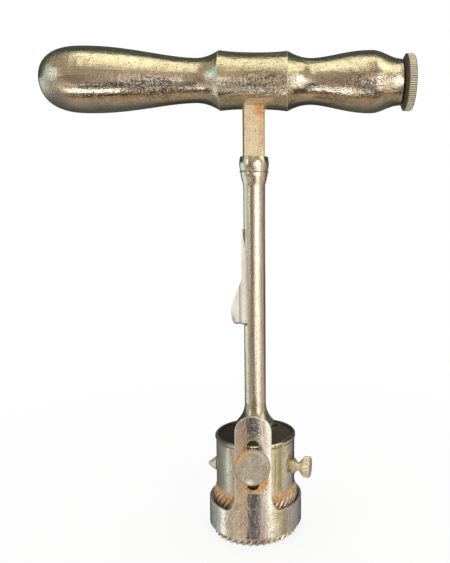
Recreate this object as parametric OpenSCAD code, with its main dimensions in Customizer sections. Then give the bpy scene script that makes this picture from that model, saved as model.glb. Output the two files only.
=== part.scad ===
// Hand trepan with a cross handle, a sliding centre pin, a toothed crown and a sliding depth guard.
// Millimetres. The crown's teeth stand on Z = 0. The shaft runs up the Z axis to the handle, along X.
// The guard's arm faces -Y.

/* [Handle] */
// Height of the handle's axis above the tips of the teeth
handle_z = 132.6; // [120:0.1:150]
// Length of the middle barrel, ridge to ridge
barrel_len = 19.2; // [16:0.1:24]
// Diameter of the ridges at the barrel's ends
ridge_d = 16.4; // [15:0.1:18]
// Diameter of the barrel at its waist
waist_d = 15.4; // [14:0.1:16]
// Length of the long left grip
left_len = 50.2; // [40:0.1:65]
// Diameter of the left grip's bulb
left_bulb_d = 18.2; // [15:0.1:20]
// Diameter of the left grip's neck
left_neck_d = 12.2; // [11:0.1:14]
// Length of the short right grip
right_len = 32.1; // [28:0.1:45]
// Diameter of the right grip's bulb
right_bulb_d = 17.2; // [15:0.1:20]
// Diameter of the right grip's neck
right_neck_d = 12.7; // [11.5:0.1:14]
// Diameter of the right grip's outer end
right_end_d = 12.8; // [11:0.1:15]
// Diameter of the barrel's spigots, which the grips are driven on
spigot_d = 8.8; // [7.5:0.1:9.5]
// Length of each spigot
spigot_len = 6; // [4:0.1:8]

/* [Clamp in the right grip] */
// Diameter of the long clamp screw
clamp_d = 4; // [3:0.1:4.6]
// Thickness of the pad that presses on the tang
pad_t = 1.7; // [1.2:0.1:3]
// Diameter of the clamp knob
knob_d = 15.8; // [14:0.1:20]
// Width of the clamp knob's milled rim
knob_t = 2.2; // [2:0.1:5]
// Gap between the right grip and the tightened knob
knob_gap = 0.4; // [0.3:0.1:1.5]
// Grooves round the clamp knob's rim
knob_grooves = 80; // [40:2:100]
// Outer diameter of the bush in the right grip's end
bush_d = 8; // [7:0.1:9.5]
// Length of the bush
bush_len = 3.5; // [2:0.1:6]

/* [Shank] */
// Width of the square tang
tang_w = 6.1; // [4.5:0.1:6.5]
// Height of the tang's top above the handle's axis
tang_rise = 4.2; // [3:0.1:5.5]
// Height of the collar's top above the teeth
collar_z = 111.5; // [105:0.1:118]
// Height of the collar
collar_h = 4.5; // [3:0.1:6]
// Largest diameter of the collar
collar_d = 8.6; // [7.8:0.1:10]
// Diameter of the shaft
shaft_d = 6.35; // [6:0.05:7]
// Length of the taper under the collar
taper_h = 4.5; // [2:0.1:8]
// Diameter of the shaft's bore
bore_d = 3; // [2.6:0.1:3.2]

/* [Centre pin] */
// Travel of the centre pin
pin_travel = 18; // [12:0.5:19]
// Length of the pin's three-sided point
point_h = 5; // [3:0.1:7]
// Depth of the long flat that the catch's nib rides in
pin_flat = 0.42; // [0.3:0.01:0.5]

/* [Catch on the shaft] */
// Height of the leaf spring's lower end above the teeth
catch_z = 62.8; // [55:0.1:66]
// Length of the leaf spring
catch_len = 28; // [26:0.1:32]
// Length of the leaf spring's tapered top
catch_taper = 9; // [6:0.1:12]
// Thickness of the leaf spring
catch_t = 1.6; // [1.2:0.05:1.8]
// Width of the leaf spring
catch_w = 3.6; // [3:0.1:4]
// How far the leaf stands out past the shaft's side
catch_proud = 0.55; // [0.2:0.05:0.8]
// How far the thumb fin stands out past the leaf
fin_out = 3.3; // [2:0.1:5]
// Height of the thumb fin
fin_h = 13.6; // [9:0.1:15]
// Thickness of the thumb fin
fin_t = 1; // [0.7:0.1:1.6]
// Diameter of the nib under the leaf
nib_d = 1.4; // [1:0.1:1.6]
// Diameter of the leaf's rivet
rivet_d = 1.4; // [1:0.1:1.6]
// Diameter of the rivet's sunk head
rivet_head_d = 2.4; // [2:0.1:2.8]

/* [Crown] */
// Outer diameter of the crown's plain wall
crown_d = 23.6; // [22:0.1:24]
// Thickness of the crown's wall
crown_wall = 0.8; // [0.6:0.05:1]
// Height of the crown
crown_h = 29.5; // [27:0.1:34]
// Diameter over the crown's cutting flutes
cutter_d = 25.4; // [25:0.1:25.8]
// Height of the fluted cutting part
cutter_h = 13.9; // [9:0.1:14.2]
// Number of teeth
teeth = 40; // [30:1:48]
// Height of each tooth
tooth_h = 1; // [0.8:0.1:2]
// Lean of the flutes away from the vertical, in degrees
flute_lean = 36; // [10:1:45]
// Depth of the flutes
flute_depth = 0.66; // [0.3:0.02:0.66]
// Diameter of the rolled lip at the crown's top
lip_d = 24.2; // [23.8:0.1:24.8]

/* [Head] */
// Length of the plug that closes the crown; the bore below it takes the disc of bone
plug_len = 13.7; // [13.2:0.1:15]
// Height of the head's flare and neck above the crown's rim
flare_h = 9.5; // [7:0.1:12]
// Diameter of the boss at the foot of the flare
flare_d = 11; // [8:0.1:11]
// Diameter of the two clearing holes
clear_d = 3.4; // [2.5:0.1:3.6]
// Distance of the clearing holes from the axis
clear_r = 7.9; // [7.4:0.1:8.4]
// Angle between each clearing hole and the side, in degrees
clear_a = 48; // [40:1:60]

/* [Guard] */
// Outer diameter of the guard ring
guard_d = 27.9; // [27.6:0.1:29]
// Thickness of the guard's sheet
guard_wall = 0.6; // [0.5:0.05:0.7]
// Height of the guard ring's lower edge above the teeth
guard_z = 2.4; // [1:0.1:4]
// Height of the guard ring
guard_h = 7.8; // [6:0.1:9]
// Height of the arm's rounded top above the guard screw
arm_up = 13; // [11:0.1:15]
// Width of the guard's arm
arm_w = 10.4; // [9:0.1:12]
// Radius of the arm's top corners
arm_corner = 4.9; // [2:0.1:5]
// Width of the hollow between the arm and the ring
arm_fillet = 2.8; // [1.5:0.1:4]
// Height of the hollow between the arm and the ring
arm_fillet_h = 5.6; // [2:0.1:6]
// Width of the slot in the arm
slot_w = 3.5; // [3:0.1:3.6]
// Distance from the guard screw down to the slot's lower end
slot_down = 8.7; // [7:0.1:10]
// Distance from the guard screw up to the slot's upper end
slot_up = 6.1; // [4:0.1:7]

/* [Guard thumbscrew] */
// Distance from the crown's rim down to the guard screw
guard_screw_drop = 3.5; // [3.5:0.1:5]
// Diameter of the guard screw's stem
guard_stem_d = 2.6; // [2:0.1:2.8]
// Diameter of the guard screw's milled head
guard_head_d = 10.2; // [8:0.1:11]
// Thickness of the guard screw's milled head
guard_head_t = 1.7; // [1.2:0.1:3]
// Distance from the arm to the milled head
guard_head_out = 3.3; // [2.8:0.1:5]
// Grooves round the guard screw's head
guard_head_grooves = 44; // [24:2:60]
// Diameter of the washer under the guard screw
washer_d = 7; // [5.4:0.1:8]
// Thickness of the washer under the guard screw
washer_t = 0.7; // [0.5:0.05:1]
// Diameter of the boss between the crown and the arm
boss_d = 3.8; // [3.4:0.1:3.8]

/* [Crown screw and stud] */
// Distance from the crown's rim down to the crown screw and the stud
side_drop = 9.8; // [9.6:0.1:11]
// Angle of the crown screw round the crown, in degrees from +X
side_a = -12; // [-20:1:20]
// Angle of the stud round the crown, in degrees from +X
stud_a = 180; // [165:1:195]
// Diameter of the crown screw's stem
side_stem_d = 2.2; // [1.8:0.1:2.4]
// Diameter of the crown screw's milled head
side_head_d = 6.2; // [5:0.1:7]
// Thickness of the crown screw's milled head
side_head_t = 2.1; // [1.5:0.1:3]
// How far the crown screw stands out of the crown's wall
side_out = 5.2; // [4.6:0.1:7]
// Grooves round the crown screw's head
side_grooves = 24; // [16:2:32]
// Diameter of the seat washer under the crown screw
seat_d = 4.6; // [4:0.1:5.2]
// Thickness of the seat washer
seat_t = 0.5; // [0.4:0.05:0.8]
// Height of the slot that the crown screw passes through
side_slot_h = 4.9; // [3:0.1:6]
// How far the stud's point stands out of the crown's wall
stud_out = 2.6; // [1.5:0.1:4]
// Diameter of the stud's cone at the wall
stud_d = 4; // [3:0.1:4.6]

/* [Hidden] */

$fn = 96;
// Clearance round a piece that slides or turns
run_gap = 0.05;
// Clearance round a piece that is driven or brazed in place
seat_gap = 0.02;
// Overshoot of a cutting shape past the face that it cuts
past = 1;
// Steps along each smooth stretch of a turned outline
steps = 14;

barrel_half = barrel_len / 2;
crown_r = crown_d / 2;
crown_bore_r = crown_r - crown_wall;
guard_r = guard_d / 2;
guard_bore_r = guard_r - guard_wall;
shaft_r = shaft_d / 2;
pin_r = bore_d / 2 - run_gap;
collar_low = collar_z - collar_h;
// Depth of the crown's open bore, up to the shoulder that the plug stands on
crown_depth = crown_h - plug_len;
seat_r = crown_bore_r + 0.2;
guard_screw_z = crown_h - guard_screw_drop;
side_z = crown_h - side_drop;
arm_z = guard_screw_z + arm_up;
slot_low = guard_screw_z - slot_down;
slot_high = guard_screw_z + slot_up;
// Where the plain shaft meets the head's flare
neck_z = crown_h + flare_h;
// Radius and length of the spigots that locate the tang and the shaft
tang_spigot_r = 1.9;
tang_spigot_len = 10;
shaft_spigot_r = 2.5;
shaft_spigot_len = 6;
// Outer face of the leaf spring, and the flat that it beds on
leaf_face = -(shaft_r + catch_proud);
leaf_bed = leaf_face + catch_t;
leaf_top = catch_z + catch_len;
nib_z = catch_z + 3.6;
rivet_z = leaf_top - catch_taper - 3;
// Depth of the threaded holes in the head, measured from the axis
hole_end_r = 6.5;

function ease(a, b, t) = a + (b - a) * (1 - cos(180 * t)) / 2;

// Points [radius, distance] from a ridge down a hollow to a neck and up to a bulb.
function grip_line(ridge, neck, bulb, neck_at, bulb_at) = concat(
    [for (i = [0 : steps - 1]) let (t = i / steps) [neck + (ridge - neck) * pow(1 - t, 2), t * neck_at]],
    [for (i = [0 : steps]) let (t = i / steps)
        [ease(neck, bulb, pow(t, 0.85)), neck_at + t * (bulb_at - neck_at)]]
);

// Turns an outline of [radius, distance] about the X axis.
module turned_x(points) rotate([0, 90, 0]) rotate_extrude() polygon(points);

// A cylinder along +X from x0 to x1.
module rod_x(x0, x1, r) translate([x0, 0, 0]) rotate([0, 90, 0]) cylinder(h = x1 - x0, r = r);

// Cuts evenly spaced V grooves, with narrow lands between them, into the rim of what stands on the Z axis.
module milled(r, count, depth, z0, z1) {
    half = 180 / count;
    star = [for (i = [0 : 2 * count - 1]) (i % 2 == 0 ? r + 0.1 : r - depth) * [cos(i * half), sin(i * half)]];
    intersection() {
        children();
        translate([0, 0, z0]) linear_extrude(z1 - z0) polygon(star);
    }
}

// Lays what has its axis along Z along a radius of the crown instead. Its X axis then points down.
module on_wall(angle, z) rotate([0, 0, angle]) translate([0, 0, z]) rotate([0, 90, 0]) children();
module on_side(angle) on_wall(angle, side_z) children();
module on_front() on_wall(-90, guard_screw_z) children();

/* Handle */

neck_at = 6.6;
left_bulb_at = left_len * 0.74;
right_bulb_at = right_len * 0.74;
// Roundness of the nose: 2 is an ellipse, more is fuller
nose_power = 2.5;

module left_grip() color([0.70, 0.68, 0.60]) {
    cap = left_len - left_bulb_at;
    line = concat(
        grip_line(ridge_d / 2, left_neck_d / 2, left_bulb_d / 2, neck_at, left_bulb_at),
        [for (i = [1 : steps]) let (a = 90 * i / steps)
            [left_bulb_d / 2 * pow(cos(a), 2 / nose_power), left_bulb_at + cap * pow(sin(a), 2 / nose_power)]]
    );
    translate([-barrel_half, 0, handle_z]) mirror([1, 0, 0]) difference() {
        turned_x(concat([[0, 0]], line));
        rod_x(-past, spigot_len + 0.3, spigot_d / 2 + seat_gap);
    }
}

module right_grip() color([0.70, 0.68, 0.60]) {
    line = concat(
        grip_line(ridge_d / 2, right_neck_d / 2, right_bulb_d / 2, neck_at, right_bulb_at),
        [for (i = [1 : steps]) let (t = i / steps)
            [ease(right_bulb_d / 2, right_end_d / 2, t), right_bulb_at + t * (right_len - right_bulb_at)]]
    );
    translate([barrel_half, 0, handle_z]) difference() {
        turned_x(concat([[0, 0]], line, [[0, right_len]]));
        rod_x(-past, spigot_len + 0.3, spigot_d / 2 + seat_gap);
        rod_x(-past, right_len + past, clamp_d / 2 + 0.4);
        rod_x(right_len - bush_len, right_len + past, bush_d / 2 + seat_gap);
    }
}

module handle_barrel() color([0.72, 0.69, 0.62]) {
    waist = [for (i = [-steps : steps]) let (t = i / steps)
        [waist_d / 2 + (ridge_d - waist_d) / 2 * pow(abs(t), 2.4), t * barrel_half]];
    tang_gap = tang_w / 2 + seat_gap;
    translate([0, 0, handle_z]) difference() {
        union() {
            turned_x(concat([[0, -barrel_half]], waist, [[0, barrel_half]]));
            rod_x(-barrel_half - spigot_len, barrel_half + spigot_len, spigot_d / 2);
        }
        translate([-tang_gap, -tang_gap, -ridge_d])
            cube([2 * tang_gap, 2 * tang_gap, ridge_d + tang_rise + 0.1]);
        rod_x(0, barrel_half + spigot_len + past, clamp_d / 2 + run_gap);
    }
}

/* Clamp */

clamp_x = tang_w / 2 + seat_gap;
grip_end = barrel_half + right_len;
knob_x = grip_end + knob_gap;

module grip_bush() color([0.78, 0.66, 0.42]) translate([grip_end - bush_len, 0, handle_z]) difference() {
    rod_x(0, bush_len + 0.2, bush_d / 2);
    rod_x(-past, bush_len + past, clamp_d / 2 + run_gap);
}

module clamp_pad() color([0.78, 0.66, 0.42]) translate([clamp_x, 0, handle_z]) rod_x(0, pad_t, clamp_d / 2);

module clamp_screw() color([0.62, 0.60, 0.56]) translate([0, 0, handle_z])
    rod_x(clamp_x + pad_t + 0.02, knob_x + knob_t + 0.6, clamp_d / 2);

// The knob is dished on its inner side, milled on its rim and slightly domed outside.
module clamp_knob() color([0.80, 0.74, 0.60]) {
    r = knob_d / 2;
    bevel = 0.9;
    outer = bevel + knob_t;
    translate([knob_x, 0, handle_z]) rotate([0, 90, 0])
        milled(r, knob_grooves, 0.22, -past, outer + past) rotate_extrude()
        polygon([
            [clamp_d / 2 + seat_gap, 0], [3.4, 0], [3.9, 0.5], [r - 2.1, 0.1], [r - 0.7, 0.6],
            [r - 0.1, bevel], [r, bevel + 0.3], [r, outer - 0.4], [r - 0.35, outer],
            [r - 2, outer + 0.15], [clamp_d / 2 + seat_gap, outer + 0.3]
        ]);
}

/* Shank */

module shank_tang() color([0.80, 0.70, 0.48]) {
    h = handle_z + tang_rise - collar_z;
    w = tang_w;
    c = 0.35;
    square_line = [[-w / 2 + c, -w / 2], [w / 2 - c, -w / 2], [w / 2, -w / 2 + c], [w / 2, w / 2 - c],
        [w / 2 - c, w / 2], [-w / 2 + c, w / 2], [-w / 2, w / 2 - c], [-w / 2, -w / 2 + c]];
    translate([0, 0, collar_z]) {
        intersection() {
            linear_extrude(h) polygon(square_line);
            cylinder(h = h, r1 = w / 2 * 1.42 + h, r2 = w / 2 * 1.28);
        }
        translate([0, 0, -tang_spigot_len]) cylinder(h = tang_spigot_len + 0.5, r = tang_spigot_r);
    }
}

module shank_collar() color([0.76, 0.74, 0.70]) {
    edge = 0.45;
    line = [for (i = [0 : steps]) let (t = i / steps)
        [collar_d / 2 - 0.3 + 0.3 * sin(180 * t), collar_low + edge + t * (collar_h - edge)]];
    rotate_extrude() polygon(concat(
        [
            [tang_spigot_r + seat_gap, collar_low], [collar_d / 2 - 0.15, collar_low],
            [collar_d / 2, collar_low + edge / 2]
        ],
        line,
        [[tang_spigot_r + seat_gap, collar_z]]
    ));
}

module shaft() color([0.72, 0.70, 0.64]) {
    top_r = collar_d / 2 - 0.35;
    taper = [for (i = [0 : steps]) let (t = i / steps)
        [ease(shaft_r, top_r, t), collar_low - taper_h + t * taper_h]];
    difference() {
        rotate_extrude() polygon(concat(
            [[0, neck_z - shaft_spigot_len], [shaft_spigot_r, neck_z - shaft_spigot_len],
                [shaft_spigot_r, neck_z],
                [shaft_r, neck_z]],
            taper,
            [[0, collar_low]]
        ));
        translate([0, 0, neck_z - shaft_spigot_len - past])
            cylinder(h = leaf_top + 3 - neck_z + shaft_spigot_len + past, r = bore_d / 2);
        translate([0, 0, collar_z - tang_spigot_len - 0.2])
            cylinder(h = tang_spigot_len + past, r = tang_spigot_r + seat_gap);
        translate([0, shaft_r + past, 0]) rotate([90, 0, 0]) linear_extrude(2 * (shaft_r + past)) polygon([
            [leaf_bed, catch_z - 0.2], [leaf_bed, leaf_top - catch_taper], [leaf_face + 0.3, leaf_top + 0.05],
            [-2 * shaft_r, leaf_top + 0.05], [-2 * shaft_r, catch_z - 0.2]
        ]);
        translate([0, 0, nib_z]) rod_x(-shaft_r, 0, nib_d / 2 + 0.12);
        translate([0, 0, rivet_z]) rod_x(-shaft_r, 0.3 - bore_d / 2, rivet_d / 2 + run_gap);
    }
}

/* Catch */

module catch_spring() color([0.80, 0.76, 0.64]) {
    bed = leaf_bed - 0.02;
    difference() {
        translate([0, catch_w / 2, 0]) rotate([90, 0, 0]) linear_extrude(catch_w) polygon([
            [leaf_face + 0.2, catch_z], [bed, catch_z], [bed, leaf_top - catch_taper],
            [leaf_face + 0.28, leaf_top], [leaf_face, leaf_top - catch_taper / 2], [leaf_face, catch_z + 0.2]
        ]);
        translate([0, 0, nib_z]) rod_x(leaf_face + 0.4, 0, nib_d / 2 + seat_gap);
        translate([0, 0, rivet_z]) rod_x(leaf_face - past, 0, rivet_d / 2 + seat_gap);
        translate([0, 0, rivet_z]) rod_x(leaf_face - past, leaf_face + 0.42, rivet_head_d / 2 + seat_gap);
    }
}

// The thumb fin's outline: a straight slope out from the leaf, then round to a flat lower end.
module catch_fin() color([0.86, 0.80, 0.66]) {
    tip = leaf_face - fin_out;
    low = catch_z;
    turn = 3.9;
    curve = [for (i = [0 : steps]) let (a = 90 * i / steps)
        [tip + fin_out * 0.42 * (1 - cos(a)), low + turn * (1 - sin(a))]];
    translate([0, fin_t / 2, 0]) rotate([90, 0, 0]) linear_extrude(fin_t) polygon(concat(
        [[leaf_face, low + fin_h], [tip + 0.25, low + turn + 1.6]], curve, [[leaf_face, low]]
    ));
}

module catch_nib() color([0.62, 0.60, 0.56]) translate([0, 0, nib_z])
    rod_x(leaf_face + 0.42, -(pin_r - pin_flat + 0.08), nib_d / 2);

module catch_rivet() color([0.62, 0.60, 0.56]) translate([0, 0, rivet_z]) {
    rod_x(leaf_face + 0.02, leaf_face + 0.4, rivet_head_d / 2);
    rod_x(leaf_face + 0.1, -(bore_d / 2 + 0.1), rivet_d / 2);
}

/* Centre pin */

pin_tip = crown_depth + 0.2;
pin_top = nib_z + pin_travel + 3;

module centre_pin() color([0.60, 0.59, 0.57]) difference() {
    translate([0, 0, pin_tip + point_h]) cylinder(h = pin_top - pin_tip - point_h, r = pin_r);
    translate([0, 0, pin_tip + point_h - past]) cylinder(h = past + 4, r = 0.9 + seat_gap);
    translate([-2 * pin_r, -pin_r - past, nib_z - nib_d / 2 - 0.3])
        cube([pin_r + pin_flat, 2 * (pin_r + past), pin_travel + nib_d + 0.6]);
}

// A three-sided point with a round stem that is driven into the pin.
module centre_point() color([0.60, 0.59, 0.57]) {
    intersection() {
        translate([0, 0, pin_tip]) cylinder(h = point_h, r = pin_r);
        for_point();
    }
    translate([0, 0, pin_tip + point_h - 0.5]) cylinder(h = 4.4, r = 0.9);
}

// Three planes that meet at the tip and run out of the pin's side at the top.
module for_point() {
    spread = pin_r * 2 / point_h;
    difference() {
        translate([-pin_r, -pin_r, pin_tip]) cube([2 * pin_r, 2 * pin_r, point_h]);
        for (i = [0 : 2]) rotate([0, 0, 120 * i + 30]) translate([0, 0, pin_tip])
            rotate([0, atan(spread / 2), 0]) translate([0, -2 * pin_r, -point_h])
                cube([4 * pin_r, 4 * pin_r, 3 * point_h]);
    }
}

/* Crown and head */

module clearing_holes() for (side = [clear_a, 180 - clear_a])
    rotate([0, 0, side]) translate([clear_r, 0, 0]) cylinder(h = neck_z, r = clear_d / 2);

module crown_head() color([0.55, 0.53, 0.48]) {
    plug_r = seat_r - seat_gap;
    foot = crown_depth + seat_gap;
    boss = flare_d / 2;
    top = crown_h;
    // The boss narrows to the shaft in a long hollow curve.
    flare = [for (i = [0 : steps]) let (t = i / steps)
        [shaft_r + (boss - shaft_r) * pow(1 - t, 2.4), top + 3.6 + t * (flare_h - 3.6)]];
    difference() {
        rotate_extrude() polygon(concat(
            [[0, foot], [plug_r - 0.3, foot], [plug_r, foot + 0.3], [plug_r, top - 0.75],
                [plug_r - 0.4, top - 0.4], [boss + 0.6, top + 0.15], [boss + 0.25, top + 0.45],
                [boss + 0.05, top + 1.1]],
            flare,
            [[0, neck_z]]
        ));
        translate([0, 0, crown_depth - past]) cylinder(h = neck_z, r = bore_d / 2);
        translate([0, 0, neck_z - shaft_spigot_len - 0.2])
            cylinder(h = shaft_spigot_len + past, r = shaft_spigot_r + seat_gap);
        clearing_holes();
        on_side(side_a) translate([0, 0, hole_end_r]) cylinder(h = crown_r, r = side_stem_d / 2 + run_gap);
        on_side(stud_a) translate([0, 0, hole_end_r]) cylinder(h = crown_r, r = side_stem_d / 2 + seat_gap);
        on_front() translate([0, 0, hole_end_r]) cylinder(h = crown_r, r = guard_stem_d / 2 + run_gap);
    }
}

// Radius of the fluted sleeve at height z, for a phase from 0 to 1 across one flute.
shoulder_h = 2;
sleeve_core = crown_r + 0.08;
function sleeve_r(z, phase) =
    let (t = max(0, (z - cutter_h + shoulder_h) / shoulder_h),
        full = cutter_d / 2 + (sleeve_core - cutter_d / 2) * t,
        dip = flute_depth * pow(abs(2 * phase - 1), 2.6))
    max(sleeve_core, full - dip);

// The helical flutes are one closed skin: outer rings that turn with height, and two still inner rings.
module fluted_sleeve() {
    per_tooth = 5;
    around = teeth * per_tooth;
    levels = concat(
        [for (i = [0 : 5]) i * (cutter_h - shoulder_h) / 5],
        [for (i = [1 : 3]) cutter_h - shoulder_h * (1 - i / 3)]
    );
    rows = len(levels);
    inner_r = crown_r - crown_wall / 2;
    turn = tan(flute_lean) / (cutter_d / 2) * 180 / PI;
    // How many points round the outer skin's top ring has turned past the inner one
    shift = round(turn * cutter_h * around / 360) + around;
    outer = [for (z = levels) for (i = [0 : around - 1])
        let (a = i * 360 / around + turn * z, r = sleeve_r(z, (i % per_tooth) / per_tooth))
        [r * cos(a), r * sin(a), z]];
    inner = [for (z = [0, cutter_h]) for (i = [0 : around - 1])
        let (a = i * 360 / around) [inner_r * cos(a), inner_r * sin(a), z]];
    base = rows * around;
    top = (rows - 1) * around;
    faces = concat(
        [for (k = [0 : rows - 2]) for (i = [0 : around - 1]) let (j = (i + 1) % around, p = k * around)
            each [[p + i, p + around + j, p + j], [p + i, p + around + i, p + around + j]]],
        [for (i = [0 : around - 1]) let (j = (i + 1) % around)
            each [[i, j, base + j], [i, base + j, base + i]]],
        [for (i = [0 : around - 1])
            let (j = (i + 1) % around,
                p = base + around + (i + shift) % around,
                q = base + around + (j + shift) % around)
            each [[top + i, q, top + j], [top + i, p, q]]],
        [for (i = [0 : around - 1]) let (j = (i + 1) % around)
            each [[base + i, base + j, base + around + j], [base + i, base + around + j, base + around + i]]]
    );
    polyhedron(points = concat(outer, inner), faces = faces);
}

// One gap between two teeth: steep on one side, sloping on the other.
module tooth_gap() {
    pitch = PI * cutter_d / teeth;
    rotate([90, 0, 90]) translate([0, 0, crown_bore_r - 1]) linear_extrude(cutter_d / 2 - crown_bore_r + 2)
        polygon([
            [-0.36 * pitch, -past], [-0.36 * pitch, 0], [0.14 * pitch, tooth_h],
            [0.34 * pitch, 0], [0.34 * pitch, -past]
        ]);
}

module crown() color([0.66, 0.62, 0.52]) {
    lip_h = 0.9;
    difference() {
        union() {
            rotate_extrude() polygon([
                [crown_bore_r, 0], [crown_r, 0], [crown_r, crown_h - lip_h - 0.6],
                [lip_d / 2, crown_h - lip_h], [lip_d / 2, crown_h - 0.35],
                [lip_d / 2 - 0.25, crown_h], [seat_r, crown_h],
                [seat_r, crown_depth], [crown_bore_r, crown_depth]
            ]);
            fluted_sleeve();
        }
        for (i = [0 : teeth - 1]) rotate([0, 0, i * 360 / teeth]) tooth_gap();
        on_front() cylinder(h = 2 * crown_r, r = guard_stem_d / 2 + 0.15);
        on_side(stud_a) cylinder(h = 2 * crown_r, r = side_stem_d / 2 + seat_gap);
        on_side(side_a) {
            cylinder(h = 2 * crown_r, r = side_stem_d / 2 + 0.1);
            translate([-side_slot_h + side_stem_d / 2, 0, 0])
                cylinder(h = 2 * crown_r, r = side_stem_d / 2 + 0.1);
            translate([-side_slot_h + side_stem_d / 2, -side_stem_d / 2 - 0.1, 0])
                cube([side_slot_h - side_stem_d / 2, side_stem_d + 0.2, 2 * crown_r]);
        }
    }
}

// A disc that saddles the crown's wall, from radius r0 to a flat face at distance out.
module saddle(r0, out, d, hole) difference() {
    cylinder(h = out, r = d / 2);
    translate([0, 0, -past]) cylinder(h = out + 2 * past, r = hole);
    rotate([0, 90, 0]) cylinder(h = 4 * d, r = r0, center = true);
}

/* Crown screw and stud */

module crown_seat() color([0.74, 0.66, 0.50]) on_side(side_a)
    saddle(crown_r + 0.02, crown_r + seat_t, seat_d, side_stem_d / 2 + 0.04);

module crown_screw() color([0.80, 0.74, 0.60]) {
    r = side_head_d / 2;
    foot = crown_r + seat_t + 0.02;
    head = crown_r + side_out - side_head_t;
    end = crown_r + side_out;
    on_side(side_a) milled(r, side_grooves, 0.2, 0, end + past) rotate_extrude() polygon([
        [0, hole_end_r + 0.2], [side_stem_d / 2, hole_end_r + 0.2], [side_stem_d / 2, foot], [1.9, foot],
        [1.7, foot + 0.35], [1.2, foot + 0.85], [1.2, foot + 1.15], [r - 0.25, head], [r, head + 0.25],
        [r, end - 0.3], [r - 0.3, end], [0, end + 0.1]
    ]);
}

module crown_stud() color([0.74, 0.70, 0.60]) on_side(stud_a) rotate_extrude() polygon([
    [0, hole_end_r + 0.2], [side_stem_d / 2, hole_end_r + 0.2], [side_stem_d / 2, crown_r + 0.03],
    [stud_d / 2, crown_r + 0.03], [stud_d / 2 - 0.1, crown_r + 0.4], [0.35, crown_r + stud_out - 0.1],
    [0, crown_r + stud_out]
]);

/* Guard */

// The spacer that fills the gap between the crown's wall and the guard's arm.
module guard_boss() color([0.66, 0.62, 0.52]) on_front() intersection() {
    saddle(crown_r + 0.02, guard_r, boss_d, guard_stem_d / 2 + 0.1);
    rotate([0, 90, 0]) cylinder(h = 4 * slot_w, r = guard_bore_r - run_gap, center = true);
}

// Outline of the arm, seen from the front.
module arm_outline() {
    half = arm_w / 2;
    ring_top = guard_z + guard_h;
    corner = arm_corner;
    translate([-half, guard_z]) square([arm_w, arm_z - corner - guard_z]);
    translate([-half + corner, guard_z]) square([arm_w - 2 * corner, arm_z - guard_z]);
    for (side = [-1, 1]) {
        translate([side * (half - corner), arm_z - corner]) circle(r = corner);
        polygon(concat(
            [[side * (half + arm_fillet), guard_z + 1], [0, guard_z + 1], [0, ring_top + arm_fillet_h]],
            [for (t = [0 : 7.5 : 90])
                [side * (half + arm_fillet * (1 - cos(t))), ring_top + arm_fillet_h * (1 - sin(t))]]
        ));
    }
}

module slot_outline() {
    r = slot_w / 2;
    translate([-r, slot_low + r]) square([slot_w, slot_high - slot_low - slot_w]);
    for (z = [slot_low + r, slot_high - r]) translate([0, z]) circle(r = r);
}

module guard() color([0.68, 0.64, 0.60]) difference() {
    intersection() {
        translate([0, 0, guard_z]) cylinder(h = arm_z - guard_z + past, r = guard_r);
        union() {
            translate([0, 0, guard_z]) cylinder(h = guard_h, r = guard_r + past);
            rotate([90, 0, 0]) linear_extrude(guard_r + past) arm_outline();
        }
    }
    cylinder(h = arm_z + past, r = guard_bore_r);
    rotate([90, 0, 0]) linear_extrude(guard_r + past) slot_outline();
}

module guard_washer() color([0.72, 0.60, 0.42]) on_front()
    saddle(guard_r + run_gap, guard_r + washer_t, washer_d, guard_stem_d / 2 + 0.05);

module guard_screw() color([0.70, 0.66, 0.58]) {
    r = guard_head_d / 2;
    foot = guard_r + washer_t + 0.02;
    head = guard_r + guard_head_out;
    end = head + guard_head_t;
    on_front() milled(r, guard_head_grooves, 0.24, 0, end + past) rotate_extrude() polygon([
        [0, hole_end_r + 0.2], [guard_stem_d / 2, hole_end_r + 0.2], [guard_stem_d / 2, foot], [2.3, foot],
        [2.0, foot + 0.6], [2.1, foot + 0.9], [r - 0.6, head - 0.2], [r, head + 0.25],
        [r, end - 0.35], [r - 0.35, end], [0, end + 0.08]
    ]);
}

left_grip();
handle_barrel();
right_grip();
grip_bush();
clamp_pad();
clamp_screw();
clamp_knob();
shank_tang();
shank_collar();
shaft();
catch_spring();
catch_fin();
catch_nib();
catch_rivet();
centre_pin();
centre_point();
crown_head();
crown();
crown_seat();
crown_screw();
crown_stud();
guard_boss();
guard();
guard_washer();
guard_screw();
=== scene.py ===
# %% [markdown]
# # Looks for a hand trepan
#
# The instrument is all metal: plated grips, shank, crown and guard, a bare tang, and a few
# pieces of bare steel and brass. Its real shape comes from the frame, one object for each piece,
# in metres, so this script adds no shapes. It sets up the camera, the room, the lamps and the
# floor, and then gives each metal a worn finish of its own. Run it from top to bottom.

# %% Load the frame
import math

import bpy
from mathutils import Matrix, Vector


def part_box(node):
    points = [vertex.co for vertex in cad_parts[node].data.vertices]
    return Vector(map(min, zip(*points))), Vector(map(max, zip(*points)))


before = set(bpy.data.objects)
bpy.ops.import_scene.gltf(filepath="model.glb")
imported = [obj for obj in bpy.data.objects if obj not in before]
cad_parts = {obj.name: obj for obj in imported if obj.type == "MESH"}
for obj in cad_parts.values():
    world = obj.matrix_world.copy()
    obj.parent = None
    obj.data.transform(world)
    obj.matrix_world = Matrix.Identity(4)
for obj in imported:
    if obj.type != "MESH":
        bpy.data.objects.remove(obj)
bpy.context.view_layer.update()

MM = 1000.0

# %% [markdown]
# ## Arithmetic on shader sockets
#
# A worn finish is mostly masks, numbers from 0 to 1 that say how rusty or dirty a point is.
# They could be wired by hand in the shader editor, but a mask is a formula, and as nodes it
# can't be read. So a `Value` stands for one output socket, and an expression on Values makes the
# Math node that works it out. A colour or a vector goes to Vector Math, because a Math node
# would turn it grey.


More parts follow.
